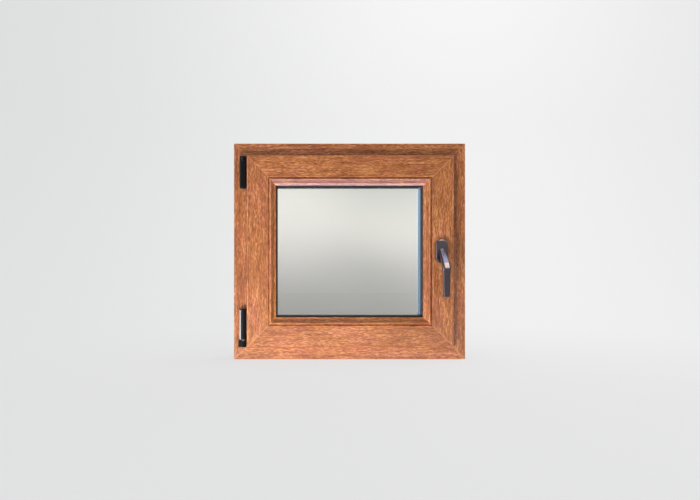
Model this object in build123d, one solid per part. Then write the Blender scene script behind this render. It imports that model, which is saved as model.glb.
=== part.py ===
# Tilt and turn window: a welded frame, and a sash that turns in on its left edge or tilts in at the top.
# The sash holds a triple glazed unit behind beads, and the fittings lie in the rebate between the two.
# X runs along the sill, Y points to the outside and Z is up. The origin is the middle of the sill's underside.
import os
from math import cos, radians, sin

from build123d import *

# Frame: outer size, depth through the wall and section of its bars
frame_width = 600.0
frame_height = 560.0
frame_depth = 70.0
frame_land = 40.5
frame_edge_radius = 2.0
rebate_depth = 46.0
rebate_fall = 2.0
stop_reach = 25.0
stop_bevel = 4.0
clip_groove_width = 6.0
clip_groove_depth = 4.0
clip_groove_spacing = 40.0
anchor_radius = 5.0
anchor_inset = 150.0
anchor_setback = 28.0
drain_length = 28.0
drain_height = 5.0
drain_depth = 12.0
drain_spacing = 320.0
drain_level = 22.0
floor_drain_spacing = 160.0
floor_drain_setback = 5.0

# Sash: how it lies over and in the frame, and section of its bars
overlap = 8.0
rebate_gap = 12.0
sash_proud = 17.0
sash_depth = 70.0
sash_face = 56.5
sash_edge_radius = 3.0
sash_inner_radius = 2.0
seal_gap = 3.0
stop_gap = 5.0
step_clearance = 5.0
lip_thickness = 6.0
lip_bevel = 3.0
small_radius = 0.8
weld_groove_width = 1.6
weld_groove_depth = 0.4

# Glazing: beads, panes and the spacers between them
bead_width = 20.0
bead_drop = 1.0
bead_quirk = 1.8
bead_crest = 5.5
bead_roll_radius = 5.0
bead_foot_width = 5.0
bead_foot_fall = 2.0
bead_cove_radius = 5.0
bead_nose = 4.5
bead_groove_inset = 9.0
bead_groove_width = 4.0
bead_groove_depth = 5.0
pane_thickness = 4.0
pane_gap = 12.0
pane_clearance = 10.0
spacer_depth = 15.0

# Seals
seal_groove_width = 3.0
seal_groove_depth = 3.5
seal_fit = 0.15
seal_tip_gap = 0.5
seal_tip_width = 1.0
seal_base = 6.0
overlap_seal_inset = 5.5
stop_seal_inset = 7.0
bead_seal_thickness = 4.0
bead_seal_width = 10.0
bead_seal_sight = 2.5
lip_seal_thickness = 3.0
lip_seal_inset = 5.0
link_notch_clearance = 1.0

# Fittings in the groove of the sash
fitting_setback = 10.0
faceplate_width = 16.0
faceplate_thickness = 3.0
faceplate_fit = 0.1
faceplate_end_gap = 0.3
faceplate_corner_gap = 6.0
corner_drive_length = 90.0
gear_groove_width = 12.0
gear_groove_depth = 12.0
cam_radius = 4.5
cam_flange_radius = 5.5
cam_height = 7.5
cam_flange_height = 2.0
cam_spread = 150.0
cam_offset = 140.0
striker_length = 46.0
striker_floor = 2.5
striker_height = 7.5
striker_wall = 2.0
striker_exit_clearance = 4.0
striker_room_gap = 1.5
striker_back_gap = 3.0

# Hinges on the left edge
hinge_offset = 9.6
hinge_standoff = 9.6
barrel_radius = 6.0
cap_radius = 8.7
cap_corner = 3.0
cap_edge = 2.0
cap_fit = 0.1
cap_end = 1.2
hinge_pin_radius = 3.0
running_fit = 0.05
hinge_end_gap = 0.5
stay_top_inset = 2.0
stay_knuckle_height = 13.0
stay_bearing_height = 69.5
cap_foot_height = 20.0
cap_groove_height = 0.8
cap_groove_depth = 0.5
cap_panel_width = 7.5
cap_panel_corner = 1.5
cap_panel_margin = 1.5
cap_panel_shift = 2.0
pin_end_radius = 3.6
pin_end_ring = 0.8
pin_end_level = 12.0
link_thickness = 2.0
link_height = 5.0
link_clearance = 0.5
link_past_land = 6.0
arm_width = 14.0
arm_thickness = 3.0
arm_lift = 1.5
arm_reach = 240.0
arm_pin_radius = 4.0
arm_pin_depth = 7.0
arm_slot_travel = 16.0
cup_radius = 8.8
cup_reach = 12.0
cup_rise = 0.5
cup_height = 16.5
cup_floor = 2.0
pivot_radius = 7.4
pivot_fit = 0.1
pivot_base = 1.5
tilt_axis_rise = 8.0
tilt_pin_radius = 2.0
fork_half_width = 5.5
tongue_half_width = 3.0
fork_side_gap = 0.2
fork_radius = 3.2
tongue_radius = 3.7
band_start = 20.0
band_height = 76.0
band_lid = 3.0
band_plate_start = 33.0
band_plate_height = 50.0
band_plate_width = 23.0
band_rib_width = 3.0
band_rib_depth = 5.5

# Handle on the right stile
gear_backset = 15.0
rosette_width = 31.0
rosette_height = 61.0
rosette_depth = 11.0
rosette_corner = 14.5
rosette_edge = 3.0
collar_radius = 9.0
collar_fit = 0.1
collar_seat = 0.3
collar_proud = 1.0
neck_width = 15.5
neck_thickness = 13.0
neck_corner = 5.5
neck_length = 46.5
neck_slope = 42.0
bend_radius = 22.0
bend_width = 21.5
bend_thickness = 14.0
bend_corner = 6.0
grip_flare = 14.0
grip_width = 18.8
grip_thickness = 11.5
grip_corner = 3.5
grip_tip_width = 17.0
grip_tip_thickness = 9.5
grip_end_round = 2.0
lever_length = 116.0

# Levels through the wall
room = -frame_depth / 2
outside = frame_depth / 2
stop_face = room + rebate_depth
sash_room = room - sash_proud
sash_outside = sash_room + sash_depth
flange_back = room - seal_gap
sash_back = stop_face - stop_gap
lip_room = sash_outside - lip_thickness
unit_depth = 3 * pane_thickness + 2 * pane_gap
glass_outside = lip_room - lip_seal_thickness
glass_room = glass_outside - unit_depth
bead_front = sash_room + bead_drop
bead_back = glass_room - bead_seal_thickness
fitting_y = room + fitting_setback
hinge_y = room - hinge_standoff

# Heights above the outer edge of the frame, or of the sash
stop_top = frame_land + stop_reach
sash_reveal = frame_land - overlap
flange = overlap + rebate_gap
sash_step = stop_top - sash_reveal + step_clearance
lip_tip = sash_face + bead_width
pane_edge = sash_face + pane_clearance
groove_floor = flange + gear_groove_depth

# Sizes and places in the window's own frame
sash_width = frame_width - 2 * sash_reveal
sash_height = frame_height - 2 * sash_reveal
sash_bottom = sash_reveal
sash_top = frame_height - sash_reveal
sash_left = -sash_width / 2
sash_right = sash_width / 2
window_middle = frame_height / 2
hinge_x = sash_left - hinge_offset
handle_x = sash_right - flange - gear_backset


def profile(*corners):
    """Closed section from corners given as depth, height and corner radius."""
    points = [(depth, height) for depth, height, radius in corners]
    radii = [radius for depth, height, radius in corners]
    return make_face(FilletPolyline(*points, radius=radii, close=True))


def strip(depth_from, depth_to, height_from, height_to):
    """Rectangle of a section between two depths and two heights."""
    middle = Pos((depth_from + depth_to) / 2, (height_from + height_to) / 2)
    return middle * Rectangle(depth_to - depth_from, height_to - height_from)


def block(x_from, x_to, y_from, y_to, z_from, z_to):
    """Box between two corners."""
    middle = Pos((x_from + x_to) / 2, (y_from + y_to) / 2, (z_from + z_to) / 2)
    return middle * Box(x_to - x_from, y_to - y_from, z_to - z_from)


def rod(x, y, z_from, z_to, radius):
    """Upright cylinder between two levels."""
    return Pos(x, y, (z_from + z_to) / 2) * Cylinder(radius, z_to - z_from)


def prism(sketch, z_from, z_to):
    """A plan outline raised from one level to another."""
    return Pos(0, 0, z_from) * extrude(sketch, z_to - z_from)


def run(section, x_from, x_to):
    """A section swept straight along X."""
    return Pos(x_from, 0, 0) * extrude(Plane.YZ * section, x_to - x_from)


def mitred_bar(section, length):
    """A bar along X with its outer edge on Z = 0 and both ends cut at 45 degrees."""
    box = section.bounding_box()
    low, high = box.min.Y, box.max.Y
    half = length / 2
    outline = Polyline(
        (low - half, low), (half - low, low), (half - high, high), (high - half, high), close=True
    )
    ends = extrude(Plane.XZ * make_face(outline), frame_depth + sash_depth, both=True)
    return run(section, low - half, half - low) & ends


def on_side(shape, side, width, height):
    """Carry a shape made on a bar along X to one side of a rectangle round the window's middle."""
    places = {
        "bottom": Pos(0, 0, window_middle - height / 2),
        "top": Pos(0, 0, window_middle + height / 2) * Rot(0, 180, 0),
        "hinge": Pos(-width / 2, 0, window_middle) * Rot(0, 90, 0),
        "handle": Pos(width / 2, 0, window_middle) * Rot(0, -90, 0),
    }
    return places[side] * shape


def ring(section, width, height):
    """Four mitred bars of one section round a rectangle."""
    level = mitred_bar(section, width)
    upright = mitred_bar(section, height)
    bars = {"bottom": level, "top": level, "hinge": upright, "handle": upright}
    return {side: on_side(bar, side, width, height) for side, bar in bars.items()}


def joined_ring(section, width, height):
    """The same ring as one closed piece."""
    bars = list(ring(section, width, height).values())
    return bars[0].fuse(*bars[1:])


def weld_grooves(bars, width, height, face):
    """Cut the shallow groove that corner cleaning leaves along the mitres on one face of a welded ring."""
    run_length = 4 * max(stop_top, lip_tip)
    for across in (-1, 1):
        for up in (-1, 1):
            corner = Pos(across * width / 2, face, window_middle + up * height / 2)
            groove = Box(run_length, 2 * weld_groove_depth, weld_groove_width)
            groove = corner * Rot(0, -45 * across * up, 0) * groove
            for side in ("top" if up > 0 else "bottom", "handle" if across > 0 else "hinge"):
                bars[side] -= groove
    return bars


def rebate_floor(depth):
    """Height of the frame's sloping rebate floor at a depth."""
    return frame_land - rebate_fall * (depth - room) / rebate_depth


def frame_bars():
    """Frame bars with the rebate, the stop, the seal groove and the clip grooves round the outside."""
    section = profile(
        (room, 0, small_radius),
        (room, frame_land, frame_edge_radius),
        (stop_face, rebate_floor(stop_face), small_radius),
        (stop_face, stop_top, small_radius),
        (outside, stop_top - stop_bevel, frame_edge_radius),
        (outside, 0, small_radius),
    )
    seal_middle = stop_top - stop_seal_inset
    section -= strip(
        stop_face,
        stop_face + seal_groove_depth,
        seal_middle - seal_groove_width / 2,
        seal_middle + seal_groove_width / 2,
    )
    for groove_y in (-clip_groove_spacing / 2, clip_groove_spacing / 2):
        groove_from = groove_y - clip_groove_width / 2
        section -= strip(groove_from, groove_from + clip_groove_width, 0, clip_groove_depth)
    bars = ring(section, frame_width, frame_height)
    anchor_y = room + anchor_setback
    for side, edge_x in (("hinge", -frame_width / 2), ("handle", frame_width / 2)):
        for anchor_z in (anchor_inset, frame_height - anchor_inset):
            hole = Pos(edge_x, anchor_y, anchor_z) * Rot(0, 90, 0) * Cylinder(anchor_radius, 2 * stop_top)
            bars[side] -= hole
    for slot_x in (-drain_spacing / 2, drain_spacing / 2):
        slot = Plane.XZ * SlotOverall(drain_length, drain_height)
        bars["bottom"] -= Pos(slot_x, outside, drain_level) * extrude(slot, drain_depth)
    for slot_x in (-floor_drain_spacing / 2, floor_drain_spacing / 2):
        slot = Pos(slot_x, stop_face - floor_drain_setback) * SlotOverall(drain_length, drain_height)
        bars["bottom"] -= prism(slot, frame_land - drain_depth, frame_land)
    bars = weld_grooves(bars, frame_width, frame_height, room)
    return weld_grooves(bars, frame_width, frame_height, outside)


def sash_bars():
    """Sash bars: room flange, fitting groove, step round the stop, glazing rebate and outer lip."""
    section = profile(
        (sash_room, 0, sash_edge_radius),
        (sash_room, sash_face, sash_inner_radius),
        (lip_room, sash_face, small_radius),
        (lip_room, lip_tip, small_radius),
        (sash_outside, lip_tip - lip_bevel, frame_edge_radius),
        (sash_outside, sash_step, frame_edge_radius),
        (sash_back, sash_step, small_radius),
        (sash_back, flange, small_radius),
        (flange_back, flange, 0),
        (flange_back, 0, small_radius),
    )
    recess = faceplate_width / 2 + faceplate_fit
    section -= strip(fitting_y - recess, fitting_y + recess, flange, flange + faceplate_thickness)
    groove = gear_groove_width / 2
    section -= strip(fitting_y - groove, fitting_y + groove, flange, groove_floor)
    seal = seal_groove_width / 2
    section -= strip(
        flange_back - seal_groove_depth, flange_back, overlap_seal_inset - seal, overlap_seal_inset + seal
    )
    lip_seal_middle = lip_tip - lip_seal_inset
    section -= strip(
        lip_room, lip_room + lip_thickness / 2, lip_seal_middle - seal, lip_seal_middle + seal
    )
    bead_groove = sash_room + bead_groove_inset
    section -= strip(bead_groove, bead_groove + bead_groove_width, sash_face - bead_groove_depth, sash_face)
    bars = ring(section, sash_width, sash_height)
    bars = weld_grooves(bars, sash_width, sash_height, sash_room)
    return weld_grooves(bars, sash_width, sash_height, sash_outside)


def beads():
    """Glazing beads: a roll that rises from the joint, a cove that falls to the glass and a clip foot."""
    section = profile(
        (bead_front + bead_quirk, sash_face, small_radius),
        (bead_front, sash_face + bead_crest, bead_roll_radius),
        (bead_back - bead_nose - bead_foot_fall, lip_tip - bead_foot_width, bead_cove_radius),
        (bead_back - bead_nose, lip_tip, small_radius),
        (bead_back, lip_tip, small_radius),
        (bead_back, sash_face, small_radius),
    )
    foot = sash_room + bead_groove_inset + seal_fit
    section += strip(
        foot,
        foot + bead_groove_width - 2 * seal_fit,
        sash_face - bead_groove_depth + seal_fit,
        sash_face + bead_crest,
    )
    return ring(section, sash_width, sash_height)


def pane(depth_from):
    """One sheet of glass."""
    width = sash_width - 2 * pane_edge
    height = sash_height - 2 * pane_edge
    return Pos(0, depth_from + pane_thickness / 2, window_middle) * Box(width, pane_thickness, height)


def spacer(depth_from):
    """Spacer bars round the edge between two sheets of glass."""
    section = strip(depth_from, depth_from + pane_gap, pane_edge, pane_edge + spacer_depth)
    return joined_ring(section, sash_width, sash_height)


def seal_lip(seat, reach, middle):
    """Section of a seal: a wide base on its seat that narrows to a blunt tip."""
    base = seal_base / 2
    tip = seal_tip_width / 2
    return profile(
        (seat, middle - base, 0),
        (seat + reach, middle - tip, 0),
        (seat + reach, middle + tip, 0),
        (seat, middle + base, 0),
    )


def seal_foot(depth_from, depth_to, middle):
    """The foot that holds a seal in its groove."""
    half = seal_groove_width / 2 - seal_fit
    return strip(depth_from, depth_to, middle - half, middle + half)


def frame_seal():
    """Seal in the stop that the closed sash leans against."""
    middle = stop_top - stop_seal_inset
    section = seal_lip(stop_face, seal_tip_gap - stop_gap, middle)
    section += seal_foot(stop_face, stop_face + seal_groove_depth - seal_fit, middle)
    return joined_ring(section, frame_width, frame_height)


def overlap_seal():
    """Seal behind the sash's room flange, cut away where the two hinge leaves pass."""
    section = seal_lip(flange_back, seal_gap - seal_tip_gap, overlap_seal_inset)
    section += seal_foot(flange_back - seal_groove_depth + seal_fit, flange_back, overlap_seal_inset)
    seal = joined_ring(section, sash_width, sash_height)
    for leaf_from, leaf_to in ((link_bottom(), link_bottom() + link_height), band_plate_levels()):
        seal -= block(
            hinge_x,
            sash_left + flange,
            flange_back,
            room,
            leaf_from - link_notch_clearance,
            leaf_to + link_notch_clearance,
        )
    return seal


def bead_seal():
    """Seal between the beads and the glass, with a thin lip in sight."""
    section = profile(
        (bead_back, lip_tip - bead_seal_width, 0),
        (bead_back, lip_tip + bead_seal_sight / 2, 0),
        (glass_room, lip_tip + bead_seal_sight, 0),
        (glass_room, lip_tip - bead_seal_width, 0),
    )
    return joined_ring(section, sash_width, sash_height)


def glazing_seal_outside():
    """Seal between the outer lip and the glass."""
    section = profile(
        (glass_outside, lip_tip - bead_seal_width, 0),
        (glass_outside, lip_tip + bead_seal_sight, 0),
        (lip_room, lip_tip + bead_seal_sight / 2, 0),
        (lip_room, lip_tip - bead_seal_width, 0),
    )
    section += seal_foot(lip_room, lip_room + lip_thickness / 2 - seal_fit, lip_tip - lip_seal_inset)
    return joined_ring(section, sash_width, sash_height)


def faceplate(side, x_from, x_to):
    """Flat steel strip let into the groove of one sash bar."""
    half = faceplate_width / 2
    section = strip(fitting_y - half, fitting_y + half, flange, flange + faceplate_thickness)
    return on_side(run(section, x_from, x_to), side, sash_width, sash_height)


def corner_drive(side):
    """Angle of the same strip that carries the drive round the corner next to the handle stile."""
    level_end = sash_width / 2 - flange
    upright_end = sash_height / 2 - flange
    level = faceplate("bottom", level_end - corner_drive_length, level_end)
    angle = level + faceplate("handle", -upright_end, corner_drive_length - upright_end)
    return angle if side == "bottom" else mirror(angle, Plane.XY.offset(window_middle))


def locking_cam(side, x):
    """Mushroom cam that stands on a faceplate and reaches towards the frame."""
    stem = Cylinder(cam_radius, cam_height, align=(Align.CENTER, Align.CENTER, Align.MAX))
    head = Cylinder(cam_flange_radius, cam_flange_height, align=(Align.CENTER, Align.CENTER, Align.MIN))
    cam = stem + Pos(0, 0, -cam_height) * head
    return on_side(Pos(x, fitting_y, flange) * cam, side, sash_width, sash_height)


def striker(side, x):
    """Keep on the rebate floor: a back wall, and a room wall with a way out for the cam."""
    cam_room = fitting_y - cam_flange_radius
    room_from = cam_room - striker_room_gap - striker_wall
    back_from = fitting_y + cam_flange_radius + striker_back_gap
    back_to = back_from + striker_wall
    section = profile(
        (room_from, rebate_floor(room_from), 0),
        (room_from, rebate_floor(room_from) + striker_height, 0),
        (room_from + striker_wall, rebate_floor(room_from) + striker_height, 0),
        (room_from + striker_wall, rebate_floor(room_from) + striker_floor, 0),
        (back_from, rebate_floor(room_from) + striker_floor, 0),
        (back_from, rebate_floor(room_from) + striker_height, 0),
        (back_to, rebate_floor(room_from) + striker_height, 0),
        (back_to, rebate_floor(back_to), 0),
    )
    keep = run(section, x - striker_length / 2, x + striker_length / 2)
    way_out = cam_flange_radius + striker_exit_clearance
    keep -= block(
        x - way_out,
        x + way_out,
        room_from,
        room_from + striker_wall,
        rebate_floor(room_from) + striker_floor,
        rebate_floor(room_from) + striker_height,
    )
    return on_side(keep, side, frame_width, frame_height)


def hinge_plan(radius, reach):
    """Plan of a hinge piece on the frame's face: flat at the front and round towards the sash."""
    return profile(
        (hinge_x - reach, room, 0),
        (hinge_x - reach, hinge_y - radius, cap_corner),
        (hinge_x + radius, hinge_y - radius, radius),
        (hinge_x + radius, room, 0),
    )


def knuckle_bottom():
    """Level of the stay arm's knuckle, just under the top of the sash."""
    return sash_top - stay_top_inset - stay_knuckle_height


def bearing_levels():
    """Bottom and top of the upper bearing, below the knuckle."""
    top = knuckle_bottom() - hinge_end_gap
    return top - stay_bearing_height, top


def stay_bearing():
    """Upper bearing on the frame, with the pin that the stay arm turns on."""
    bottom, top = bearing_levels()
    body = prism(hinge_plan(barrel_radius, barrel_radius), bottom + cap_end + cap_fit, top)
    return body + rod(hinge_x, hinge_y, top, sash_top - stay_top_inset - cap_end, hinge_pin_radius)


def stay_bearing_cap():
    """Cap over the upper bearing: a foot with a pin end, set off by a groove, and a sunk panel above it."""
    bottom, top = bearing_levels()
    cap = prism(hinge_plan(cap_radius, cap_radius), bottom, top)
    cap = fillet(cap.faces().sort_by(Axis.Z)[0].edges().sort_by(Axis.Y)[:-1], cap_edge)
    bore = barrel_radius + cap_fit
    cap -= prism(hinge_plan(bore, bore), bottom + cap_end, top)
    groove_floor_radius = cap_radius - cap_groove_depth
    rim = hinge_plan(cap_radius, cap_radius) - hinge_plan(groove_floor_radius, groove_floor_radius)
    groove_level = bottom + cap_foot_height
    cap -= prism(rim, groove_level, groove_level + cap_groove_height)
    panel_bottom = groove_level + cap_groove_height + cap_panel_margin
    panel_top = top - cap_panel_margin
    panel = RectangleRounded(cap_panel_width, panel_top - panel_bottom, cap_panel_corner)
    front = Pos(hinge_x - cap_panel_shift, hinge_y - cap_radius, 0)
    upright = Rot(90, 0, 0)
    panel_place = front * Pos(0, 0, (panel_bottom + panel_top) / 2) * upright
    cap -= panel_place * extrude(panel, cap_groove_depth, both=True)
    pin_outline = Circle(pin_end_radius) - Circle(pin_end_radius - pin_end_ring)
    pin_place = front * Pos(0, 0, bottom + pin_end_level) * upright
    return cap - pin_place * extrude(pin_outline, cap_groove_depth, both=True)


def link_bottom():
    """Level of the stay arm's link behind the sash flange."""
    return knuckle_bottom()


def stay_arm():
    """Stay arm: knuckle on the upper pin, link behind the flange, bar in the rebate and its end pin."""
    bottom = knuckle_bottom()
    top = sash_top - stay_top_inset - cap_end - cap_fit
    link_back = room - link_clearance
    link_front = link_back - link_thickness
    link_end = -frame_width / 2 + frame_land + link_past_land
    bar_bottom = bottom + arm_lift
    pin_x = hinge_x + arm_reach
    plan_front = fitting_y - arm_width / 2
    plan_back = fitting_y + arm_width / 2
    arm = rod(hinge_x, hinge_y, bottom, top, barrel_radius)
    arm += block(hinge_x, hinge_x + barrel_radius, hinge_y, link_back, bottom, bottom + link_height)
    arm += block(hinge_x, link_end, link_front, link_back, bottom, bottom + link_height)
    arm += block(
        link_end - link_thickness, link_end, link_front, plan_back, bottom, bar_bottom + arm_thickness
    )
    arm += block(
        link_end - link_thickness, pin_x, plan_front, plan_back, bar_bottom, bar_bottom + arm_thickness
    )
    arm += rod(pin_x, fitting_y, bar_bottom, bar_bottom + arm_thickness, arm_width / 2)
    arm += rod(pin_x, fitting_y, sash_top - flange - arm_pin_depth, bar_bottom, arm_pin_radius)
    bore_radius = hinge_pin_radius + running_fit
    return arm - rod(hinge_x, hinge_y, bottom, top, bore_radius)


def stay_knuckle_cap():
    """Round cap over the knuckle, open at the back where the link leaves it."""
    bottom = knuckle_bottom()
    top = sash_top - stay_top_inset
    cap = rod(hinge_x, hinge_y, bottom, top, cap_radius)
    cap = fillet(cap.faces().sort_by(Axis.Z)[-1].edges(), cap_edge)
    cap -= rod(hinge_x, hinge_y, bottom, top - cap_end, barrel_radius + cap_fit)
    return cap - block(
        hinge_x - cap_fit,
        hinge_x + cap_radius,
        hinge_y,
        room,
        bottom,
        bottom + link_height + cap_fit,
    )


def corner_bearing():
    """Lower hinge cup on the frame, longer on the side away from the sash."""
    bottom = sash_bottom + cup_rise
    top = bottom + cup_height
    body = prism(hinge_plan(cup_radius, cup_reach), bottom, top)
    body = fillet(body.faces().sort_by(Axis.Z)[0].edges().sort_by(Axis.Y)[:-1], small_radius)
    return body - rod(hinge_x, hinge_y, bottom + cup_floor, top, pivot_radius + pivot_fit)


def tilt_level():
    """Level of the pin that the sash tilts on."""
    return sash_bottom + tilt_axis_rise


def cross_rod(x_from, x_to, radius):
    """Level cylinder on the tilt axis."""
    middle = Pos((x_from + x_to) / 2, hinge_y, tilt_level())
    return middle * Rot(0, 90, 0) * Cylinder(radius, x_to - x_from)


def corner_pivot():
    """Fork that turns in the cup and carries the tilt pin."""
    floor = sash_bottom + cup_rise + cup_floor
    pivot = rod(hinge_x, hinge_y, floor, floor + pivot_base, pivot_radius)
    inner = tongue_half_width + fork_side_gap
    for side in (-1, 1):
        near, far = sorted((hinge_x + side * inner, hinge_x + side * fork_half_width))
        pivot += cross_rod(near, far, fork_radius)
        pivot += block(
            near, far, hinge_y - fork_radius, hinge_y + fork_radius, floor + pivot_base, tilt_level()
        )
    return pivot + cross_rod(hinge_x - fork_half_width, hinge_x + fork_half_width, tilt_pin_radius)


def band_levels():
    """Bottom and top of the barrel of the lower hinge leaf."""
    return sash_bottom + band_start, sash_bottom + band_start + band_height


def band_plate_levels():
    """Bottom and top of the plate that screws the lower hinge leaf to the sash."""
    bottom = sash_bottom + band_plate_start
    return bottom, bottom + band_plate_height


def corner_band():
    """Lower hinge leaf on the sash: eye on the tilt pin, barrel, bright rib and an angled plate."""
    bottom, top = band_levels()
    plate_bottom, plate_top = band_plate_levels()
    tongue_left = hinge_x - tongue_half_width
    tongue_right = hinge_x + tongue_half_width
    leg = sash_left + flange
    plate_back = flange_back + link_thickness
    band = cross_rod(tongue_left, tongue_right, tongue_radius)
    band += block(
        tongue_left, tongue_right, hinge_y - tongue_radius, hinge_y + tongue_radius, tilt_level(), bottom
    )
    band += rod(hinge_x, hinge_y, bottom, top, barrel_radius)
    rib_x = hinge_x - cap_radius
    band += block(
        rib_x, hinge_x, hinge_y - band_rib_depth / 2, hinge_y + band_rib_depth / 2, bottom, top
    )
    band += block(
        hinge_x,
        hinge_x + barrel_radius,
        hinge_y + band_rib_depth / 2,
        plate_back,
        plate_bottom,
        plate_top,
    )
    band += block(hinge_x, leg, flange_back, plate_back, plate_bottom, plate_top)
    band += block(
        leg - link_thickness, leg, flange_back, flange_back + band_plate_width, plate_bottom, plate_top
    )
    return band - cross_rod(tongue_left, tongue_right, tilt_pin_radius + running_fit)


def corner_band_cap():
    """Cap over the lower hinge leaf, with a lid, which leaves the bright rib in sight on the left."""
    bottom, top = band_levels()
    rib_right = hinge_x - cap_radius + band_rib_width
    cap = rod(hinge_x, hinge_y, bottom, top + band_lid, cap_radius)
    cap = fillet(cap.faces().sort_by(Axis.Z)[-1].edges(), small_radius)
    cap -= rod(hinge_x, hinge_y, bottom, top + cap_fit, barrel_radius + cap_fit)
    cap -= block(
        hinge_x - cap_radius, rib_right, hinge_y - cap_radius, room, bottom, top + cap_fit
    )
    rib_front = hinge_y - band_rib_depth / 2 - cap_fit
    cap -= block(hinge_x - cap_radius, hinge_x, rib_front, room, bottom, top + cap_fit)
    return cap - block(
        hinge_x - cap_radius, hinge_x + cap_radius, hinge_y + band_rib_depth / 2, room, bottom, top + band_lid
    )


def handle_rosette():
    """Rounded plate of the handle, with the bore that the lever's collar turns in."""
    plate = extrude(RectangleRounded(rosette_width, rosette_height, rosette_corner), rosette_depth)
    plate = fillet(plate.faces().sort_by(Axis.Z)[-1].outer_wire().edges(), rosette_edge)
    plate -= Cylinder(collar_radius + collar_fit, 2 * rosette_depth)
    return Pos(handle_x, sash_room, window_middle) * Rot(90, 0, 0) * plate


def lever_plane(stand, drop, lean):
    """Plane across the lever at a stand off the sash, a drop below its axis and a lean from level."""
    origin = (handle_x, sash_room - stand, window_middle - drop)
    return Plane(origin=origin, x_dir=(1, 0, 0), z_dir=Vector(0, -1, 0).rotate(Axis.X, lean))


def handle_lever():
    """Lever: collar in the rosette, sloping neck that widens, round bend and a flat grip that hangs down."""
    neck_stand = rosette_depth + collar_proud
    collar = extrude(lever_plane(collar_seat, 0, 0) * Circle(collar_radius), neck_stand - collar_seat)
    bend_stand = neck_stand + neck_length * cos(radians(neck_slope))
    bend_drop = neck_length * sin(radians(neck_slope))
    centre_stand = bend_stand - bend_radius * sin(radians(neck_slope))
    centre_drop = bend_drop + bend_radius * cos(radians(neck_slope))
    grip_stand = centre_stand + bend_radius
    neck_section = RectangleRounded(neck_width, neck_thickness, neck_corner)
    bend_section = RectangleRounded(bend_width, bend_thickness, bend_corner)
    grip_section = RectangleRounded(grip_width, grip_thickness, grip_corner)
    tip_section = RectangleRounded(grip_tip_width, grip_tip_thickness, grip_corner)
    root = lever_plane(neck_stand, 0, 0) * neck_section
    bend_start = lever_plane(bend_stand, bend_drop, neck_slope) * bend_section
    bend_end = lever_plane(grip_stand, centre_drop, 90) * bend_section
    shoulder = lever_plane(grip_stand, centre_drop + grip_flare, 90) * grip_section
    tip = lever_plane(grip_stand, lever_length, 90) * tip_section
    bend_axis = Axis((handle_x, sash_room - centre_stand, window_middle - centre_drop), (1, 0, 0))
    bend = revolve(bend_start, axis=bend_axis, revolution_arc=90 - neck_slope)
    grip = loft([shoulder, tip], ruled=True)
    grip = fillet(grip.faces().sort_by(Axis.Z)[0].edges(), grip_end_round)
    neck = loft([root, bend_start], ruled=True)
    return collar + neck + bend + loft([bend_end, shoulder], ruled=True) + grip


frame = frame_bars()
sash = sash_bars()
bead = beads()
plate_reach = sash_height / 2 - flange - corner_drive_length - faceplate_end_gap
level_reach = sash_width / 2 - flange - corner_drive_length - faceplate_end_gap
level_start = sash_width / 2 - flange - faceplate_corner_gap
stay_clear = hinge_x + arm_reach + arm_slot_travel

pieces = {
    "frame_sill": frame["bottom"],
    "frame_head": frame["top"],
    "frame_hinge_jamb": frame["hinge"],
    "frame_handle_jamb": frame["handle"],
    "frame_seal": frame_seal(),
    "striker_upper": striker("handle", cam_spread),
    "striker_lower": striker("handle", -cam_spread),
    "striker_head": striker("top", -cam_offset),
    "striker_sill": striker("bottom", cam_offset),
    "stay_bearing": stay_bearing(),
    "stay_bearing_cap": stay_bearing_cap(),
    "corner_bearing": corner_bearing(),
    "sash_bottom_rail": sash["bottom"],
    "sash_top_rail": sash["top"],
    "sash_hinge_stile": sash["hinge"],
    "sash_handle_stile": sash["handle"],
    "bead_bottom": bead["bottom"],
    "bead_top": bead["top"],
    "bead_hinge_side": bead["hinge"],
    "bead_handle_side": bead["handle"],
    "pane_room": pane(glass_room),
    "pane_middle": pane(glass_room + pane_thickness + pane_gap),
    "pane_outside": pane(glass_outside - pane_thickness),
    "spacer_room": spacer(glass_room + pane_thickness),
    "spacer_outside": spacer(glass_outside - pane_thickness - pane_gap),
    "bead_seal": bead_seal(),
    "glazing_seal_outside": glazing_seal_outside(),
    "overlap_seal": overlap_seal(),
    "gear_faceplate": faceplate("handle", -plate_reach, plate_reach),
    "top_faceplate": faceplate("top", -level_reach, -stay_clear),
    "bottom_faceplate": faceplate("bottom", -level_start, level_reach),
    "corner_drive_top": corner_drive("top"),
    "corner_drive_bottom": corner_drive("bottom"),
    "locking_cams": Compound(
        [
            locking_cam("handle", cam_spread),
            locking_cam("handle", -cam_spread),
            locking_cam("top", -cam_offset),
            locking_cam("bottom", cam_offset),
        ]
    ),
    "corner_band": corner_band(),
    "corner_band_cap": corner_band_cap(),
    "corner_pivot": corner_pivot(),
    "stay_arm": stay_arm(),
    "stay_knuckle_cap": stay_knuckle_cap(),
    "handle_rosette": handle_rosette(),
    "handle_lever": handle_lever(),
}

os.makedirs("parts", exist_ok=True)
for name, piece in pieces.items():
    export_step(piece, f"parts/{name}.step")
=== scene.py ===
from math import cos, pi, radians, sin

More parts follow.
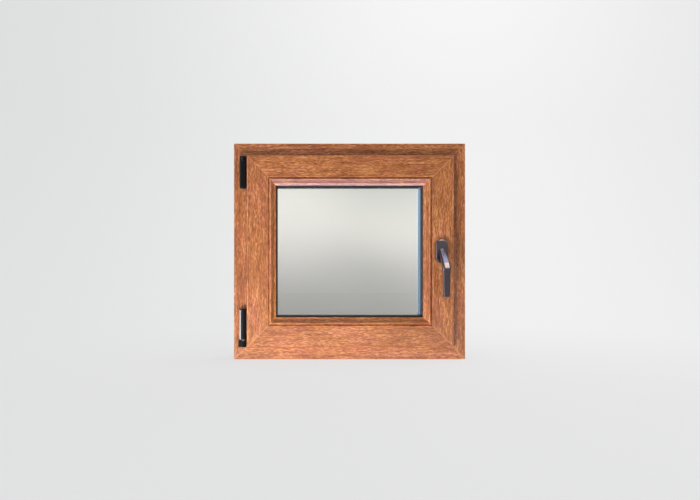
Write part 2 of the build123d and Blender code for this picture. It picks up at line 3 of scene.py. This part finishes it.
import bmesh
import bpy
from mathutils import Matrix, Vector


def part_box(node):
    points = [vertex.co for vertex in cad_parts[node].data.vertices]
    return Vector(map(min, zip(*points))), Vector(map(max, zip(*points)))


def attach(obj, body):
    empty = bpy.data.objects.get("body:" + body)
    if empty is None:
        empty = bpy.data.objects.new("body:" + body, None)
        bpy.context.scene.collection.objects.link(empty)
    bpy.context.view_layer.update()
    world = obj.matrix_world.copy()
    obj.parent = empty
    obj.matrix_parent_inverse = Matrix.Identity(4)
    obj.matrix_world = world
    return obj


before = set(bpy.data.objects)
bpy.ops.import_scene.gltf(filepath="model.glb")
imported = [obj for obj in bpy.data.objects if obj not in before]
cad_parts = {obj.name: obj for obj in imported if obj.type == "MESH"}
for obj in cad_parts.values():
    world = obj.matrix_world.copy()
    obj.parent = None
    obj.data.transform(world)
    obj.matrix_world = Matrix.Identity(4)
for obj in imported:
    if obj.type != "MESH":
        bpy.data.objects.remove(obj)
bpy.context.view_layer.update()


# Frame
# Four plastic bars are mitred and welded into a ring that is fixed in the wall. A printed and embossed
# golden oak foil covers the room and weather faces and a little of each edge, and the plain brown core
# shows past it.
class Socket:
    """An output in a node tree: sums written with it add Math nodes to that tree."""

    def __init__(self, tree, output=None):
        self.tree = tree
        self.output = output

    def node(self, kind, settings, inputs, output=0):
        """Add any node: its settings first, then the values or links of its sockets."""
        made = self.tree.nodes.new(kind)
        for key, setting in settings.items():
            if key == "stops":
                ramp = made.color_ramp.elements
                while len(ramp) < len(setting):
                    ramp.new(1.0)
                for element, (position, colour) in zip(ramp, setting):
                    element.position = position
                    element.color = (*colour, 1.0)
            else:
                setattr(made, key, setting)
        for key, value in inputs.items():
            if isinstance(value, Socket):
                self.tree.links.new(value.output, made.inputs[key])
            else:
                made.inputs[key].default_value = value
        return Socket(self.tree, made.outputs[output] if made.outputs else None)

    def math(self, operation, *values):
        return self.node("ShaderNodeMath", {"operation": operation}, dict(enumerate((self, *values))))

    def __add__(self, other):
        return self.math("ADD", other)

    __radd__ = __add__

    def __sub__(self, other):
        return self.math("SUBTRACT", other)

    def __rsub__(self, other):
        return self.node("ShaderNodeMath", {"operation": "SUBTRACT"}, {0: other, 1: self})

    def __mul__(self, other):
        return self.math("MULTIPLY", other)

    __rmul__ = __mul__

    def __abs__(self):
        return self.math("ABSOLUTE")

    def step(self, start, end):
        """0 below start and 1 above end, with a soft change between them; the two may be swapped."""
        limits = {"Value": self, "From Min": start, "From Max": end}
        return self.node("ShaderNodeMapRange", {"interpolation_type": "SMOOTHSTEP"}, limits)

    def mix(self, first, second):
        """The first colour where this is 0 and the second where it is 1."""
        return self.node("ShaderNodeMix", {"data_type": "RGBA"}, {0: self, 6: first, 7: second}, 2)

    def ramp(self, stops):
        """A colour for each level of this, from pairs of a level and a colour."""
        return self.node("ShaderNodeValToRGB", {"stops": stops}, {"Fac": self})

    def noise(self, scale, detail=2.0, roughness=0.5, output=0):
        """Noise at this place, stretched by three scales in cells a metre."""
        stretched = self.node("ShaderNodeMapping", {}, {"Vector": self, "Scale": scale})
        inputs = {"Vector": stretched, "Scale": 1.0, "Detail": detail, "Roughness": roughness}
        return self.node("ShaderNodeTexNoise", {}, inputs, output)

    def moved(self, way, amount):
        """This place shifted by a vector, or by a noise's colour, times an amount."""
        inputs = {0: way, 1: (amount, amount, amount), 2: self}
        return self.node("ShaderNodeVectorMath", {"operation": "MULTIPLY_ADD"}, inputs)

    def axes(self):
        """The three numbers of this place."""
        return [self.node("ShaderNodeSeparateXYZ", {}, {"Vector": self}, axis) for axis in range(3)]


def new_finish(name):
    """A material with an empty tree, and the place on the piece that its pattern is read from."""
    material = bpy.data.materials.new(name)
    material.use_nodes = True
    material.node_tree.nodes.clear()
    place = Socket(material.node_tree).node("ShaderNodeTexCoord", {}, {}, "Object")
    return material, place


def close_finish(place, inputs):
    """End a material in one shader with these inputs."""
    shader = place.node("ShaderNodeBsdfPrincipled", {}, inputs)
    place.node("ShaderNodeOutputMaterial", {}, {"Surface": shader})


def dress(material, nodes):
    """Give pieces of the frame a finish."""
    for name in nodes:
        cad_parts[name].material_slots[0].material = material


frame_low, frame_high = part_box("frame_sill")
jamb_low, jamb_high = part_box("frame_handle_jamb")
window_middle = (jamb_low.z + jamb_high.z) / 2
mitre_offset = frame_high.x - (jamb_high.z - window_middle)
golden_oak = [
    (0.10, (0.210, 0.056, 0.0100)),
    (0.32, (0.345, 0.102, 0.0210)),
    (0.50, (0.450, 0.147, 0.0360)),
    (0.68, (0.560, 0.208, 0.0600)),
    (0.90, (0.700, 0.310, 0.1100)),
]
rosy_oak = [
    (0.10, (0.215, 0.054, 0.0140)),
    (0.32, (0.350, 0.097, 0.0300)),
    (0.50, (0.465, 0.142, 0.0510)),
    (0.68, (0.585, 0.202, 0.0800)),
    (0.90, (0.730, 0.298, 0.1300)),
]
weld_colour = (0.78, 0.38, 0.17)
core_colour = (0.165, 0.072, 0.034)
# Painted shade: a dark band on the bead foil where it meets the sash.
joint_painted_shade_colour = (0.085, 0.022, 0.008)
weld_half_width = 0.0012
foil_edge = 0.0003
rim_from = 0.0008
rim_to = 0.0004
joint_painted_shade_width = 0.0032
roll_width = 0.008
roll_rise = 0.003
arch_length = 0.045
arch_width = 0.017


def oak_foil(name, level, seed, centre, core_from, core_to, edge_wrap=0, joint=0):
    """Oak foil along the bars, arched round their centre line, with the core between two depths.

    A joint is how far from the window's middle a bead meets the sash: a band of painted shade darkens the
    foil there, and a bump gives it a round edge.
    """
    material, place = new_finish(name)
    shifted = place.moved((seed, seed, seed), 1.0)

    def stretch(along, across):
        return (along, across, across) if level else (across, across, along)

    x, y, z = place.axes()
    along = x if level else z
    across = abs(z - window_middle) if level else abs(x)
    broad = shifted.noise(stretch(4.0, 30.0), 1.0)
    hue = shifted.noise(stretch(11.0, 36.0), 1.0)
    drift = shifted.noise(stretch(14.0, 46.0), 1.0, output=1)
    bent = shifted.moved(drift, 0.008)
    flecks = bent.noise(stretch(100.0, 430.0), 1.0, 0.55)
    streaks = bent.noise(stretch(13.0, 210.0), 2.0, 0.6)
    pores = bent.noise(stretch(240.0, 2300.0), 1.0)
    off_centre = (across - centre) * (1 / arch_width)
    arches = along * (1 / arch_length) + off_centre * off_centre * 0.5 + broad * 7.0 + streaks * 1.2
    rings = (arches * (2 * pi)).math("SINE")
    pore_mask = pores.step(0.60, 0.70)
    fleck_tone = (flecks - 0.5) * (0.6 + broad * 1.5 + rings * 0.35)
    tone = 0.5 + (broad - 0.5) * 0.5 + (streaks - 0.5) * 1.15 + fleck_tone + rings * 0.045 - pore_mask * 0.14
    printed = hue.step(0.42, 0.72).mix(tone.ramp(golden_oak), tone.ramp(rosy_oak))
    from_mitre = abs(abs(x) - abs(z - window_middle) - mitre_offset)
    weld = from_mitre.step(weld_half_width, 0.4 * weld_half_width)
    foil = (weld * 0.75).mix(printed, (*weld_colour, 1.0))
    past_front = y.step(core_from - foil_edge, core_from + foil_edge)
    before_back = y.step(core_to + foil_edge, core_to - foil_edge)
    inside = past_front * before_back
    if edge_wrap:
        side = abs(x).step(frame_high.x - rim_from, frame_high.x - rim_to)
        end = abs(z - window_middle).step(window_middle - rim_from, window_middle - rim_to)
        foil_end = frame_high.y - edge_wrap
        rim = side.math("MAXIMUM", end) * abs(y).step(foil_end, foil_end - 2 * foil_edge)
        inside = inside.math("MAXIMUM", rim)
    # Painted shade: the foil darkens in a band beside the joint, where the bead meets the sash.
    if joint:
        foil = (across.step(joint - joint_painted_shade_width, joint) * 0.85).mix(foil, (*joint_painted_shade_colour, 1.0))
    colour = inside.mix(foil, (*core_colour, 1.0))
    rough = 0.40 - (flecks - 0.5) * 0.25 + pore_mask * 0.12
    height = (flecks - 0.5) * 0.6 - pore_mask * 0.6 + (streaks - 0.5) * 0.3
    bump = place.node("ShaderNodeBump", {}, {"Strength": 0.4, "Distance": 0.0003, "Height": height})
    if joint:
        rise = {"Strength": 1.0, "Distance": roll_rise, "Height": across.step(joint, joint - roll_width)}
        bump = place.node("ShaderNodeBump", {}, {**rise, "Normal": bump})
    inputs = {
        "Base Color": colour,
        "Roughness": rough,
        "Normal": bump,
        "Specular IOR Level": 0.45,
        "Coat Weight": 0.22,
        "Coat Roughness": 0.28,
    }
    close_finish(place, inputs)
    return material


frame_core = (-0.031, 0.0105)
frame_wrap = 0.008
frame_bar = 0.033
level_centre = window_middle - frame_bar
upright_centre = frame_high.x - frame_bar
frame_level = oak_foil("oak_foil_frame_level", True, 0.0, level_centre, *frame_core, frame_wrap)
frame_upright = oak_foil("oak_foil_frame_upright", False, 3.1, upright_centre, *frame_core, frame_wrap)
dress(frame_level, ["frame_sill", "frame_head"])
dress(frame_upright, ["frame_hinge_jamb", "frame_handle_jamb"])


# Frame seal
# A black rubber profile is pressed into a groove in the stop all round, and the closed sash leans on its lip.
rubber_colour = (0.030, 0.028, 0.029)
rubber_bloom = (0.056, 0.053, 0.055)


def seal_rubber():
    """Dull black rubber with a faint bloom."""
    material, place = new_finish("seal_rubber")
    bloom = place.noise((90.0, 90.0, 90.0), 2.0)
    colour = bloom.mix((*rubber_colour, 1.0), (*rubber_bloom, 1.0))
    grain = place.noise((1500.0, 1500.0, 1500.0), 1.0)
    bump = place.node("ShaderNodeBump", {}, {"Strength": 0.15, "Distance": 0.0001, "Height": grain})
    close_finish(place, {"Base Color": colour, "Roughness": 0.5 + bloom * 0.2, "Normal": bump})
    return material


rubber = seal_rubber()
dress(rubber, ["frame_seal"])


# Strikers and upper bearing
# Zinc-plated steel keeps are screwed to the floor of the rebate, where the cams of the sash lock behind
# them. The upper bearing is steel too, screwed to the jamb under its black cap.
zinc_colour = (0.66, 0.67, 0.68)
zinc_dark = (0.56, 0.575, 0.59)
zinc_yellow = (0.60, 0.575, 0.50)


def zinc_steel():
    """Zinc plating with a faint spangle, drawn lines and a slight yellow tint from passivation."""
    material, place = new_finish("zinc_steel")
    spangle = place.noise((240.0, 240.0, 240.0), 2.0)
    lines = place.noise((2600.0, 2600.0, 60.0), 1.0)
    tint = place.noise((22.0, 22.0, 22.0), 1.0)
    plated = spangle.mix((*zinc_dark, 1.0), (*zinc_colour, 1.0))
    colour = tint.step(0.45, 0.75).mix(plated, (*zinc_yellow, 1.0))
    rough = 0.27 + spangle * 0.16 + (lines - 0.5) * 0.12
    bump = place.node("ShaderNodeBump", {}, {"Strength": 0.12, "Distance": 0.0001, "Height": lines + spangle})
    close_finish(place, {"Base Color": colour, "Roughness": rough, "Metallic": 1.0, "Normal": bump})
    return material


def screw_nodes():
    """Geometry nodes that set a screw head with a cross recess on each point, turned the way it faces."""
    tree = bpy.data.node_groups.new("screw_heads", "GeometryNodeTree")
    tree.interface.new_socket("Points", in_out="INPUT", socket_type="NodeSocketGeometry")
    for label in ("Head radius", "Head height", "Recess width", "Recess depth"):
        tree.interface.new_socket(label, in_out="INPUT", socket_type="NodeSocketFloat")
    tree.interface.new_socket("Finish", in_out="INPUT", socket_type="NodeSocketMaterial")
    tree.interface.new_socket("Screws", in_out="OUTPUT", socket_type="NodeSocketGeometry")
    given = tree.nodes.new("NodeGroupInput")
    points, radius, height, width, depth, finish = [Socket(tree, output) for output in given.outputs[:6]]
    cone = {"Vertices": 24, "Radius Bottom": radius, "Radius Top": radius * 0.72, "Depth": height}
    head = points.node("GeometryNodeMeshCone", {}, cone)
    bar_size = points.node("ShaderNodeCombineXYZ", {}, {"X": radius * 1.1, "Y": width, "Z": depth * 2.0})
    bar = points.node("GeometryNodeMeshCube", {}, {"Size": bar_size})
    top = points.node("ShaderNodeCombineXYZ", {}, {"Z": height})
    for turn in (0.0, pi / 2):
        placed = {"Geometry": bar, "Translation": top, "Rotation": (0.0, 0.0, turn)}
        tool = points.node("GeometryNodeTransform", {}, placed)
        cut = {"Mesh 1": head, "Mesh 2": tool}
        head = points.node("GeometryNodeMeshBoolean", {"operation": "DIFFERENCE"}, cut)
    facing = points.node("GeometryNodeInputNamedAttribute", {"data_type": "FLOAT_VECTOR"}, {"Name": "facing"})
    turned = points.node("FunctionNodeAlignRotationToVector", {"axis": "Z"}, {"Vector": facing})
    spread = {"Points": points, "Instance": head, "Rotation": turned}
    screws = points.node("GeometryNodeInstanceOnPoints", {}, spread)
    screws = points.node("GeometryNodeRealizeInstances", {}, {"Geometry": screws})
    screws = points.node("GeometryNodeSetMaterial", {}, {"Geometry": screws, "Material": finish})
    points.node("NodeGroupOutput", {}, {"Screws": screws})
    return tree


zinc = zinc_steel()
strikers = ["striker_upper", "striker_lower", "striker_head", "striker_sill"]
dress(zinc, [*strikers, "stay_bearing"])
screw_tree = screw_nodes()
screw_inputs = {
    "Head radius": 0.0036,
    "Head height": 0.0008,
    "Recess width": 0.0010,
    "Recess depth": 0.0006,
    "Finish": zinc,
}


def screw_heads(name, body, spots):
    """Screws on one body, from pairs of a place and the way that the head faces."""
    points = bpy.data.meshes.new(name)
    points.from_pydata([place for place, facing in spots], [], [])
    facings = points.attributes.new("facing", "FLOAT_VECTOR", "POINT")
    for entry, (place, facing) in zip(facings.data, spots):
        entry.vector = facing
    screws = bpy.data.objects.new(name, points)
    bpy.context.scene.collection.objects.link(screws)
    grown = screws.modifiers.new("screws", "NODES")
    grown.node_group = screw_tree
    for socket in screw_tree.interface.items_tree:
        if socket.name in screw_inputs:
            grown[socket.identifier] = screw_inputs[socket.name]
    evaluated = screws.evaluated_get(bpy.context.evaluated_depsgraph_get())
    mesh = bpy.data.meshes.new_from_object(evaluated)
    screws.modifiers.clear()
    screws.data = mesh
    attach(screws, body)
    return screws


keep_floor = 0.00504
keep_screw_offset = 0.015
keep_facings = {"striker_head": (0, 0, -1), "striker_sill": (0, 0, 1)}
keep_spots = []
for name in strikers:
    facing = Vector(keep_facings.get(name, (-1, 0, 0)))
    keep_low, keep_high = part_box(name)
    keep_half = (keep_high - keep_low) / 2
    floor_middle = keep_low + keep_half + facing * (abs(facing.dot(keep_half)) - keep_floor)
    across_keep = Vector((0, 0, 1)) if facing.x else Vector((1, 0, 0))
    for side in (-keep_screw_offset, keep_screw_offset):
        keep_spots.append((floor_middle + across_keep * side, facing))
frame_screws = screw_heads("screws_frame", "frame", keep_spots)
cap_colour = (0.0035, 0.0035, 0.0038)
cap_worn = (0.0065, 0.0065, 0.007)


def hinge_black():
    """Satin black moulded cap with a fine grained skin."""
    material, place = new_finish("hinge_black")
    skin = place.noise((2400.0, 2400.0, 2400.0), 1.0)
    handling = place.noise((60.0, 60.0, 60.0), 2.0)
    colour = handling.mix((*cap_colour, 1.0), (*cap_worn, 1.0))
    bump = place.node("ShaderNodeBump", {}, {"Strength": 0.1, "Distance": 0.0001, "Height": skin})
    inputs = {
        "Base Color": colour,
        "Roughness": 0.30 + handling * 0.12,
        "Normal": bump,
        "Specular IOR Level": 0.16,
    }
    close_finish(place, inputs)
    return material


black_cap = hinge_black()
dress(black_cap, ["stay_bearing_cap", "corner_bearing"])


# Sash
# The opening part is the same kind of ring in a deeper section. Its flange lies over the frame on the
# room side and is foiled round its edge, and the fitting groove and the glazing rebate show the core.
sash_core = (-0.0375, 0.0062)
sash_low, sash_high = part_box("sash_bottom_rail")
sash_bar = 0.030
sash_level_centre = window_middle - sash_low.z - sash_bar
sash_upright_centre = sash_high.x - sash_bar
sash_level = oak_foil("oak_foil_sash_level", True, 7.3, sash_level_centre, *sash_core)
sash_upright = oak_foil("oak_foil_sash_upright", False, 11.7, sash_upright_centre, *sash_core)
dress(sash_level, ["sash_bottom_rail", "sash_top_rail"])
dress(sash_upright, ["sash_hinge_stile", "sash_handle_stile"])


# Glazed unit
# Three sheets of float glass are sealed round spacer bars. The outer sheet is satin etched, so light
# comes through and no view does. The bar along the handle side has a blue face, and the others are pale.
glass_tint = (0.996, 0.998, 0.994)
glass_edge_tint = (0.988, 0.996, 0.990)
glass_ior = 1.5
etched_rough = 0.32
etched_frosting = 0.08
spacer_pale = (0.74, 0.71, 0.67)
spacer_blue = (0.09, 0.48, 1.0)


def glass(name, rough, frosting):
    """Float glass with a faint drift in its tint, clear or etched to a roughness that varies a little."""
    material, place = new_finish(name)
    drift = place.noise((9.0, 9.0, 9.0), 1.0)
    if frosting:
        rough = rough + (place.noise((700.0, 700.0, 700.0), 1.0) - 0.5) * frosting
    inputs = {
        "Base Color": drift.mix((*glass_tint, 1.0), (*glass_edge_tint, 1.0)),
        "Roughness": rough,
        "IOR": glass_ior,
        "Transmission Weight": 1.0,
    }
    close_finish(place, inputs)
    return material


def spacer_bar():
    """Satin spacer with fine lines along it, blue on the bar next to the handle."""
    material, place = new_finish("spacer_bar")
    x, y, z = place.axes()
    lines = place.noise((30.0, 1800.0, 30.0), 1.0)
    handle_side = (x - abs(z - window_middle) - mitre_offset).step(-0.0002, 0.0002)
    colour = handle_side.mix((*spacer_pale, 1.0), (*spacer_blue, 1.0))
    inputs = {
        "Base Color": colour,
        "Roughness": 0.35 + lines * 0.1,
        "Metallic": handle_side * 0.9,
    }
    close_finish(place, inputs)
    return material


dress(glass("clear_glass", 0.0, 0.0), ["pane_room", "pane_middle"])
dress(glass("etched_glass", etched_rough, etched_frosting), ["pane_outside"])
dress(spacer_bar(), ["spacer_room", "spacer_outside"])


# Glazing seals and overlap seal
# The same rubber closes the joint between the glass and the bead or the lip, and lines the back of the
# flange. Each profile is pressed into its groove.
dress(rubber, ["bead_seal", "glazing_seal_outside", "overlap_seal"])


# Beads
# Four foiled bars with a roll and a cove clip into the sash and hold the glass from the room side. They
# are cut to a mitre and not welded.
bead_core = (-0.032, 0.02)
bead_from_edge = 0.0565
bead_bar = 0.010
joint_upright = sash_high.x - bead_from_edge
joint_level = window_middle - sash_low.z - bead_from_edge
bead_level = oak_foil(
    "oak_foil_bead_level", True, 15.9, joint_level - bead_bar, *bead_core, joint=joint_level
)
bead_upright = oak_foil(
    "oak_foil_bead_upright", False, 19.4, joint_upright - bead_bar, *bead_core, joint=joint_upright
)
dress(bead_level, ["bead_bottom", "bead_top"])
dress(bead_upright, ["bead_hinge_side", "bead_handle_side"])


# Gear in the sash groove
# Zinc-plated faceplates and corner drives close the groove round the sash, and mushroom cams stand on them.
faceplates = ["gear_faceplate", "top_faceplate", "bottom_faceplate"]
corner_drives = ["corner_drive_top", "corner_drive_bottom"]
dress(zinc, [*faceplates, *corner_drives, "locking_cams"])
plate_screws = [
    ("gear_faceplate", (1, 0, 0), (0.063, 0.372, 0.627, 0.937)),
    ("corner_drive_top", (1, 0, 0), (0.64,)),
    ("corner_drive_top", (0, 0, 1), (0.30, 0.75)),
    ("corner_drive_bottom", (1, 0, 0), (0.36,)),
    ("corner_drive_bottom", (0, 0, -1), (0.30, 0.75)),
    ("top_faceplate", (0, 0, 1), (0.12, 0.68)),
    ("bottom_faceplate", (0, 0, -1), (0.054, 0.355, 0.656, 0.894)),
]
plate_spots = []
for name, facing, shares in plate_screws:
    plate_low, plate_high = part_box(name)
    for share in shares:
        place = plate_low.lerp(plate_high, share)
        place.y = (plate_low.y + plate_high.y) / 2
        if facing[0]:
            place.x = plate_high.x
        else:
            place.z = plate_high.z if facing[2] > 0 else plate_low.z
        plate_spots.append((place, facing))


# Hinges
# The lower leaf hangs the sash on a pivot in the frame's cup, and a stay arm holds the sash's top on the
# upper bearing. The steel is zinc plated, and black caps clip over what shows in the room.
dress(zinc, ["corner_band", "corner_pivot", "stay_arm"])
dress(black_cap, ["corner_band_cap", "stay_knuckle_cap"])
leaf_plate = 0.002
leaf_screw_levels = (0.075, 0.110)
leaf_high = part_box("corner_band")[1]
groove_middle = plate_spots[0][0].y
leaf_spots = [((leaf_high.x - leaf_plate, groove_middle, level), (-1, 0, 0)) for level in leaf_screw_levels]
sash_screws = screw_heads("screws_sash", "sash", plate_spots + leaf_spots)


# Handle
# A die-cast rosette and lever with a glossy anthracite lacquer turn the gear. The screws are under the
# rosette's cover.
anthracite = (0.052, 0.039, 0.048)
anthracite_flake = (0.090, 0.068, 0.084)


def anthracite_lacquer():
    """Dark metallic lacquer with fine flakes and a clear coat."""
    material, place = new_finish("anthracite_lacquer")
    flakes = place.noise((3200.0, 3200.0, 3200.0), 1.0)
    colour = flakes.step(0.35, 0.75).mix((*anthracite, 1.0), (*anthracite_flake, 1.0))
    inputs = {
        "Base Color": colour,
        "Roughness": 0.24 + flakes * 0.06,
        "Metallic": 0.6,
        "Coat Weight": 0.8,
        "Coat Roughness": 0.06,
    }
    close_finish(place, inputs)
    return material


dress(anthracite_lacquer(), ["handle_rosette", "handle_lever"])


# Stage
# A pale floor runs up into a plain backdrop behind the window. Its glow is painted a little lighter on the
# right, as painted light. What the glass shows of it is a painted glow of light and shade, graded from a dim
# foot, painted as if the floor behind the window lay in shadow, to a warm middle.
floor_half_width = 6.0
floor_front = -6.0
curve_start = 0.9
curve_radius = 1.0
backdrop_top = 5.0
curve_steps = 24
floor_colour = (0.80, 0.805, 0.81)
# Painted light: the backdrop's glow is lighter on the right than on the left.
glow_painted_dim_left = (0.90, 0.905, 0.91)
glow_painted_light_right = (1.0, 1.0, 1.0)
glow_reach = 1.2
glow_share = 0.65
# Painted light and shade seen through the glass: the backdrop glows dim at its foot, as if the floor behind
# the window lay in shadow, warm in the middle, lighter to the right and with soft blots.
view_top = 1.0
view_share = 0.85
view_strength = 1.25
view_lean = 0.12
view_blots = 0.50
view_painted_light_and_shade = [
    (0.00, (0.25, 0.25, 0.24)),
    (0.22, (0.31, 0.305, 0.29)),
    (0.36, (0.66, 0.64, 0.61)),
    (0.46, (1.00, 0.95, 0.89)),
    (0.58, (0.95, 0.915, 0.855)),
    (0.76, (0.46, 0.50, 0.45)),
]


def backdrop():
    """Floor, cove and wall as one smooth sheet."""
    line = [(floor_front, 0.0), (curve_start, 0.0)]
    for step in range(1, curve_steps + 1):
        turn = pi / 2 * step / curve_steps
        line.append((curve_start + curve_radius * sin(turn), curve_radius * (1 - cos(turn))))
    line.append((curve_start + curve_radius, backdrop_top))
    shape = bmesh.new()
    rows = [
        [shape.verts.new((x, y, z)) for y, z in line] for x in (-floor_half_width, floor_half_width)
    ]
    for left, right, next_right, next_left in zip(rows[0], rows[1], rows[1][1:], rows[0][1:]):
        shape.faces.new((left, right, next_right, next_left)).smooth = True
    mesh = bpy.data.meshes.new("backdrop")
    shape.to_mesh(mesh)
    shape.free()
    sheet = bpy.data.objects.new("backdrop", mesh)
    bpy.context.scene.collection.objects.link(sheet)
    return sheet


def stage_paper():
    """Pale paper that keeps a soft shadow and looks lighter than it lights the window, with a glow painted
    lighter on the right and a painted glow of light and shade where the glass shows it.
    """
    material, place = new_finish("stage_paper")
    paper_inputs = {"Base Color": (*floor_colour, 1.0), "Roughness": 0.9, "Specular IOR Level": 0.1}
    paper = place.node("ShaderNodeBsdfPrincipled", {}, paper_inputs)
    x, y, z = place.axes()
    # Painted light: the glow seen by the camera grows lighter from left to right.
    glow_painted_light_gradient = x.step(-glow_reach, glow_reach).mix((*glow_painted_dim_left, 1.0), (*glow_painted_light_right, 1.0))
    glow = place.node("ShaderNodeEmission", {}, {"Color": glow_painted_light_gradient, "Strength": 1.0})
    # Painted light and shade for transmission rays: a graded glow stands in for the lit and shaded backdrop
    # behind the window.
    blots = place.noise((4.0, 4.0, 1.5), 1.0)
    level = z * (1 / view_top) + x * view_lean + (blots - 0.5) * view_blots
    view_inputs = {"Color": level.ramp(view_painted_light_and_shade), "Strength": view_strength}
    view = place.node("ShaderNodeEmission", {}, view_inputs)
    seen = place.node("ShaderNodeLightPath", {}, {}, "Is Camera Ray")
    through = place.node("ShaderNodeLightPath", {}, {}, "Is Transmission Ray")
    direct = place.node("ShaderNodeMixShader", {}, {0: seen * glow_share, 1: paper, 2: glow})
    both = place.node("ShaderNodeMixShader", {}, {0: through * view_share, 1: direct, 2: view})
    place.node("ShaderNodeOutputMaterial", {}, {"Surface": both})
    return material


stage = backdrop()
stage.data.materials.append(stage_paper())


# Lights
# A soft lamp low on the left is the main light and falls on the window alone. One lamp is over the floor
# and one lights the backdrop, and six panels show only as reflections in glossy surfaces.
def soft_lamp(name, place, target, size, power, colour):
    """A rectangular lamp that faces a point and doesn't show in the picture itself."""
    lamp = bpy.data.lights.new(name, "AREA")
    lamp.shape = "RECTANGLE"
    lamp.size, lamp.size_y = size
    lamp.energy = power
    lamp.color = colour
    lamp_object = bpy.data.objects.new(name, lamp)
    bpy.context.scene.collection.objects.link(lamp_object)
    lamp_object.location = place
    lamp_object.rotation_mode = "QUATERNION"
    lamp_object.rotation_quaternion = (Vector(target) - Vector(place)).to_track_quat("-Z", "Y")
    lamp_object.visible_camera = False
    return lamp_object


def light_only(lamp, pieces):
    """Let a lamp reach some pieces and nothing else."""
    lit = bpy.data.collections.new(lamp.name)
    for piece in pieces:
        lit.objects.link(piece)
    lamp.light_linking.receiver_collection = lit
    lamp.light_linking.blocker_collection = lit


window_centre = (0.0, 0.0, window_middle)
handle_low, handle_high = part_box("handle_lever")
handle_place = (handle_low + handle_high) / 2
handle_pieces = [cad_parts[name] for name in ("handle_rosette", "handle_lever")]
window_pieces = [*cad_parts.values(), frame_screws, sash_screws]
oak_pieces = [node for name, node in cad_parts.items() if name.startswith(("frame_", "sash_"))]
top_bead = [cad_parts["bead_top"]]
spacer_pieces = [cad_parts[name] for name in ("pane_room", "spacer_room", "spacer_outside")]
warm = (1.0, 0.94, 0.89)
neutral = (1.0, 0.99, 0.98)
cream = (1.0, 0.88, 0.72)
sky = (0.46, 0.60, 1.0)
lavender = (0.80, 0.72, 1.0)
pale = (0.95, 0.90, 1.0)
fill_strength = 0.42
beyond_strength = 0.9
low_lamp = soft_lamp("low_lamp", (-0.44, -0.74, -0.36), window_centre, (0.5, 0.35), 12.6, warm)
soft_lamp("floor_lamp", (0.0, -0.7, 3.4), (0.0, -0.7, 0.0), (2.6, 2.6), 22.0, neutral)
back_lamp = soft_lamp("back_lamp", (0.8, 0.6, 2.4), (0.6, 1.9, 0.6), (1.6, 0.6), 10.0, neutral)
back_lamp.data.spread = radians(130)
foot_panel = soft_lamp("foot_panel", (0.0, -0.35, -0.05), (0.0, -0.05, 0.45), (1.1, 0.35), 34.0, lavender)
sheen_panel = soft_lamp("sheen_panel", (0.35, -1.3, -0.50), window_centre, (1.3, 0.5), 15.0, warm)
sky_panel = soft_lamp("sky_panel", (0.58, -0.07, 1.45), (0.58, -0.06, 0.0), (0.9, 0.46), 5.8, sky)
cream_panel = soft_lamp("cream_panel", (0.62, -1.03, 1.22), handle_place, (0.8, 1.45), 34.0, cream)
side_panel = soft_lamp("side_panel", (-1.1, -0.8, 0.30), window_centre, (0.35, 1.0), 14.0, pale)
strip_panel = soft_lamp("strip_panel", (0.82, -2.1, 0.33), window_centre, (0.30, 1.0), 1.3, neutral)
for panel in (foot_panel, sheen_panel, sky_panel, cream_panel, side_panel, strip_panel):
    panel.visible_diffuse = False
    panel.visible_transmission = panel is strip_panel
light_only(low_lamp, window_pieces)
light_only(foot_panel, top_bead)
light_only(sheen_panel, oak_pieces)
light_only(sky_panel, handle_pieces)
light_only(cream_panel, handle_pieces)
light_only(side_panel, window_pieces)
light_only(strip_panel, spacer_pieces)
world = bpy.data.worlds.new("surround")
world.use_nodes = True
world.node_tree.nodes.clear()
surround = Socket(world.node_tree)
fill = surround.node("ShaderNodeBackground", {}, {"Color": (1.0, 1.0, 1.0, 1.0), "Strength": fill_strength})
beyond = surround.node("ShaderNodeBackground", {}, {"Color": (*glow_painted_dim_left, 1.0), "Strength": beyond_strength})
seen = surround.node("ShaderNodeLightPath", {}, {}, "Is Camera Ray")
both = surround.node("ShaderNodeMixShader", {}, {0: seen, 1: fill, 2: beyond})
surround.node("ShaderNodeOutputWorld", {}, {"Surface": both})
bpy.context.scene.world = world


# Camera
# It faces the window squarely from the left of its middle and a little below, as in the photograph.
image_width = 700
image_height = 500
mm_per_pixel = 2.597
window_centre_pixel = (349.6, 251.4)
camera_distance = 2.03
camera_left = 0.30
camera_up = -0.05
sensor = 36.0
view_width = image_width * mm_per_pixel / 1000
camera = bpy.data.cameras.new("camera")
camera.sensor_width = sensor
camera.lens = sensor * camera_distance / view_width
middle_x = (window_centre_pixel[0] - image_width / 2) / image_width
middle_y = (image_height / 2 - window_centre_pixel[1]) / image_width
camera.shift_x = camera_left / view_width - middle_x
camera.shift_y = -camera_up / view_width - middle_y
camera_object = bpy.data.objects.new("camera", camera)
bpy.context.scene.collection.objects.link(camera_object)
camera_object.location = (-camera_left, frame_low.y - camera_distance, window_middle + camera_up)
camera_object.rotation_euler = (radians(90), 0.0, 0.0)
bpy.context.scene.camera = camera_object
bpy.context.scene.view_settings.view_transform = "Standard"
